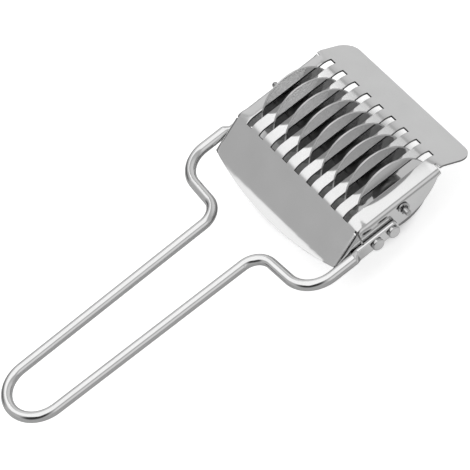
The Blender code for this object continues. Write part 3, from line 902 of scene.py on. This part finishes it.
def cut_steel_and_shade():
    """The sheet's cut and rounded edges: duller than its faces, with shear marks, and darker:
    partly the cut steel's own grey, partly painted shade along the edges.
    """
    material, nodes, shader = steel("cut_edge_and_shade")
    place = nodes.add("ShaderNodeTexCoord").outputs["Object"]
    marks = nodes.noise(nodes.stretched(place, EDGE_MARKS), 1.0, PLAIN)
    grey = nodes.spread_to(nodes.noise(place, EDGE_CLOUD, PLAIN), *EDGE_GREY_AND_SHADE)
    rough = nodes.spread_to(marks, *EDGE_ROUGHNESS)
    finish_steel(nodes, shader, grey, rough, marks, EDGE_RELIEF)
    return material


def rod_steel():
    """Drawn rod: lines that run along it, carried by its own map."""
    material, nodes, shader = steel("bright_rod")
    mapped = nodes.add("ShaderNodeUVMap", uv_map="along_rod").outputs["UV"]
    place = nodes.add("ShaderNodeTexCoord").outputs["Object"]
    lines = nodes.noise(nodes.stretched(mapped, ROD_LINES), 1.0, FINE)
    cloud = nodes.noise(place, ROD_CLOUD, PLAIN)
    rough = nodes.math("ADD", nodes.spread_to(cloud, *ROD_ROUGHNESS),
                       nodes.spread_to(lines, *LINES_ROUGHNESS))
    finish_steel(nodes, shader, nodes.spread_to(cloud, *ROD_GREY), rough, lines, ROD_RELIEF)
    return material


def stud_steel():
    """Formed rivet heads: fine hammered unevenness."""
    material, nodes, shader = steel("formed_stud")
    place = nodes.add("ShaderNodeTexCoord").outputs["Object"]
    dents = nodes.noise(place, STUD_DENTS, PLAIN)
    rough = nodes.spread_to(nodes.noise(place, STUD_GRAIN, PLAIN), *STUD_ROUGHNESS)
    finish_steel(nodes, shader, nodes.spread_to(dents, *STUD_GREY), rough, dents, STUD_RELIEF)
    return material


def off_axis(nodes, centre):
    """Place in metres, its X part, and the distance from a line along X through centre."""
    place = nodes.add("ShaderNodeTexCoord").outputs["Object"]
    parts = nodes.add("ShaderNodeSeparateXYZ")
    nodes.join(place, parts.inputs[0])
    y = nodes.math("SUBTRACT", parts.outputs["Y"], centre.y)
    z = nodes.math("SUBTRACT", parts.outputs["Z"], centre.z)
    squares = nodes.math("ADD", nodes.math("MULTIPLY", y, y), nodes.math("MULTIPLY", z, z))
    return place, parts.outputs["X"], nodes.math("SQRT", squares)


def blade_steel():
    """Blades: rings left by grinding, and a rougher, paler ground rim."""
    material, nodes, shader = steel("ground_blade")
    place, along, radius = off_axis(nodes, DRUM)
    rings = nodes.lines((radius, BLADE_RINGS), (along, BLADE_RINGS_ALONG), FINE)
    cloud = nodes.noise(place, BLADE_CLOUD, PLAIN)
    grind = BLADE_RADIUS - BLADE_GRIND
    rim = nodes.fade(radius, grind - RIM_BLEND, grind + RIM_BLEND)
    grey = nodes.math("ADD", nodes.spread_to(cloud, *BLADE_GREY),
                      nodes.spread_to(rim, 0, RIM_PALER))
    rough = nodes.math("ADD", nodes.spread_to(rings, *BLADE_ROUGHNESS),
                       nodes.spread_to(rim, 0, RIM_ROUGHER))
    finish_steel(nodes, shader, grey, rough, rings, BLADE_RELIEF)
    return material


def pin_steel():
    """Axle and snap rings: fine lathe lines round the axis."""
    material, nodes, shader = steel("turned_pin")
    place, along, radius = off_axis(nodes, AXLE)
    turned = nodes.lines((along, PIN_LINES_ALONG), (radius, PIN_LINES), PLAIN)
    grey = nodes.spread_to(nodes.noise(place, PIN_CLOUD, PLAIN), *PIN_GREY)
    rough = nodes.spread_to(turned, *PIN_ROUGHNESS)
    finish_steel(nodes, shader, grey, rough, turned, PIN_RELIEF)
    return material


def ring_steel(name, greys):
    """Rings beside the blades: a dull, darker turned finish, between two levels of grey."""
    material, nodes, shader = steel(name)
    place, along, radius = off_axis(nodes, DRUM)
    turned = nodes.lines((along, RING_LINES_ALONG), (radius, RING_LINES), PLAIN)
    grey = nodes.spread_to(nodes.noise(place, RING_CLOUD, PLAIN), *greys)
    rough = nodes.spread_to(turned, *RING_ROUGHNESS)
    finish_steel(nodes, shader, grey, rough, turned, RING_RELIEF)
    return material


def toward(nodes, direction, centre, inner_deg, outer_deg):
    """1 within inner_deg of a direction of the studio, fading to 0 at outer_deg."""
    dot = nodes.add("ShaderNodeVectorMath", operation="DOT_PRODUCT")
    nodes.join(direction, dot.inputs[0])
    dot.inputs[1].default_value = Vector(centre).normalized()
    return nodes.fade(dot.outputs["Value"], math.cos(math.radians(outer_deg)),
                      math.cos(math.radians(inner_deg)))


def make_world():
    """A grey studio: paler far, left and right walls, the dark side that the camera stands on,
    and a dark area low at the left."""
    world = bpy.data.worlds.new("studio")
    bpy.context.scene.world = world
    world.use_nodes = True
    nodes = Nodes(world.node_tree)
    direction = nodes.add("ShaderNodeTexCoord").outputs["Generated"]
    level = STUDIO_LEVEL
    for centre, inner, outer, change in (FAR_WALL, LEFT_WALL, RIGHT_WALL, CAMERA_SIDE_DARK,
                                         LOW_LEFT_DARK):
        area = toward(nodes, direction, centre, inner, outer)
        level = nodes.math("ADD", level, nodes.spread_to(area, 0, change))
    background = world.node_tree.nodes["Background"]
    nodes.join(nodes.grey(level), background.inputs["Color"])
    background.inputs["Strength"].default_value = 1


def within(nodes, place, centre, half_sizes, soft):
    """1 inside an oval and 0 beyond it, with a soft inner edge; place is in metres."""
    shifted = nodes.add("ShaderNodeVectorMath", operation="SUBTRACT")
    nodes.join(place, shifted.inputs[0])
    shifted.inputs[1].default_value = centre
    scaled = nodes.add("ShaderNodeVectorMath", operation="DIVIDE")
    nodes.join(shifted.outputs[0], scaled.inputs[0])
    scaled.inputs[1].default_value = half_sizes
    length = nodes.add("ShaderNodeVectorMath", operation="LENGTH")
    nodes.join(scaled.outputs[0], length.inputs[0])
    return nodes.fade(length.outputs["Value"], 1, 1 - soft)


def flat_stage(name, span_x, span_y, place, material):
    """A level stage sheet; its spans are measured from place."""
    bm = bmesh.new()
    bm.faces.new([bm.verts.new((x, y, 0)) for x, y in
                  ((span_x[0], span_y[0]), (span_x[1], span_y[0]),
                   (span_x[1], span_y[1]), (span_x[0], span_y[1]))])
    sheet = bpy.data.objects.new(name, finished(bm, name))
    sheet.location = place
    bpy.context.scene.collection.objects.link(sheet)
    sheet.data.materials.append(material)
    return sheet


def make_lamp():
    """A wide soft lamp overhead, evenly bright with one hotter spot, faded at its left and far
    edges; the camera doesn't see it, so that it can look down past it."""
    material, nodes, shader = glowing("soft_lamp", 0)
    place = nodes.add("ShaderNodeTexCoord").outputs["Object"]
    parts = nodes.add("ShaderNodeSeparateXYZ")
    nodes.join(place, parts.inputs[0])
    even = nodes.math("MULTIPLY", nodes.fade(parts.outputs["X"], *LAMP_LEFT_FADE),
                      nodes.fade(parts.outputs["Y"], *LAMP_FAR_FADE))
    spot = within(nodes, place, LAMP_SPOT, (LAMP_SPOT_REACH, LAMP_SPOT_REACH, 1), LAMP_SPOT_SOFT)
    level = nodes.math("ADD", STUDIO_LEVEL, nodes.math("MULTIPLY", even, LAMP_LEVEL))
    level = nodes.math("ADD", level, nodes.math("MULTIPLY", spot, LAMP_SPOT_LEVEL))
    nodes.join(level, shader.inputs["Emission Strength"])
    centre = MIDDLE + Vector((0, 0, LAMP_HEIGHT))
    lamp = flat_stage("soft_lamp", LAMP_SPAN_X, LAMP_SPAN_Y, centre, material)
    lamp.visible_camera = False


def make_floor():
    """A wide pale floor that keeps the shadow. To the camera it is lifted towards white, but not
    under the cover: the unlifted oval there is painted shadow under the tool. Bright steel sees
    painted light on it, a little under the cover and more in a patch beside it."""
    material, nodes, shader = glowing("pale_floor", FLOOR_GREY)
    shader.inputs["Roughness"].default_value = 1
    path = nodes.add("ShaderNodeLightPath")
    place = nodes.add("ShaderNodeTexCoord").outputs["Object"]
    # Beneath the cover the camera's lift is left out: painted shadow.
    under = within(nodes, place, MIDDLE + Vector(FLOOR_PAINTED_SHADOW_CENTRE), FLOOR_PAINTED_SHADOW_REACH,
                   FLOOR_PAINTED_SHADOW_SOFT)
    # Patch beside the tool that glows for glossy rays only: painted light in the side plate's
    # reflection.
    beside = within(nodes, place, MIDDLE + Vector(FLOOR_SIDE_CENTRE), FLOOR_SIDE_REACH,
                    FLOOR_SIDE_SOFT)
    open_floor = nodes.math("SUBTRACT", 1, under)
    seen = nodes.math("MULTIPLY", path.outputs["Is Camera Ray"],
                      nodes.math("MULTIPLY", open_floor, FLOOR_LIFT))
    # Glossy-only glow beside and under the cover: painted light in the steel.
    low = nodes.math("ADD", nodes.math("MULTIPLY", beside, FLOOR_SIDE_PAINTED_GLOW),
                     nodes.math("MULTIPLY", under, FLOOR_UNDER_PAINTED_GLOW))
    mirrored = nodes.math("MULTIPLY", path.outputs["Is Glossy Ray"], low)
    nodes.join(nodes.math("ADD", seen, mirrored), shader.inputs["Emission Strength"])
    flat_stage("floor", FLOOR_SPAN, FLOOR_SPAN, Vector((0, 0, -FLOOR_DROP)), material)


def make_camera():
    data = bpy.data.cameras.new("photo_camera")
    data.lens = CAMERA_LENS
    data.sensor_width = CAMERA_SENSOR
    data.clip_start, data.clip_end = CAMERA_CLIP
    camera = bpy.data.objects.new("photo_camera", data)
    camera.rotation_euler = [math.radians(angle) for angle in CAMERA_TURN_DEG]
    camera.location = Vector(CAMERA_FROM_MIDDLE) + MIDDLE
    bpy.context.scene.collection.objects.link(camera)
    bpy.context.scene.camera = camera


def main():
    pins = pin_steel()
    make_cover(sheet_steel(), cut_steel_and_shade())
    make_handle(rod_steel())
    make_drum(blade_steel(), ring_steel("dull_ring", SPACER_GREY),
              ring_steel("end_ring", COLLAR_GREY))
    make_pins(pins, stud_steel())
    make_world()
    make_lamp()
    make_floor()
    make_camera()
    bpy.context.scene.view_settings.view_transform = "Standard"


main()
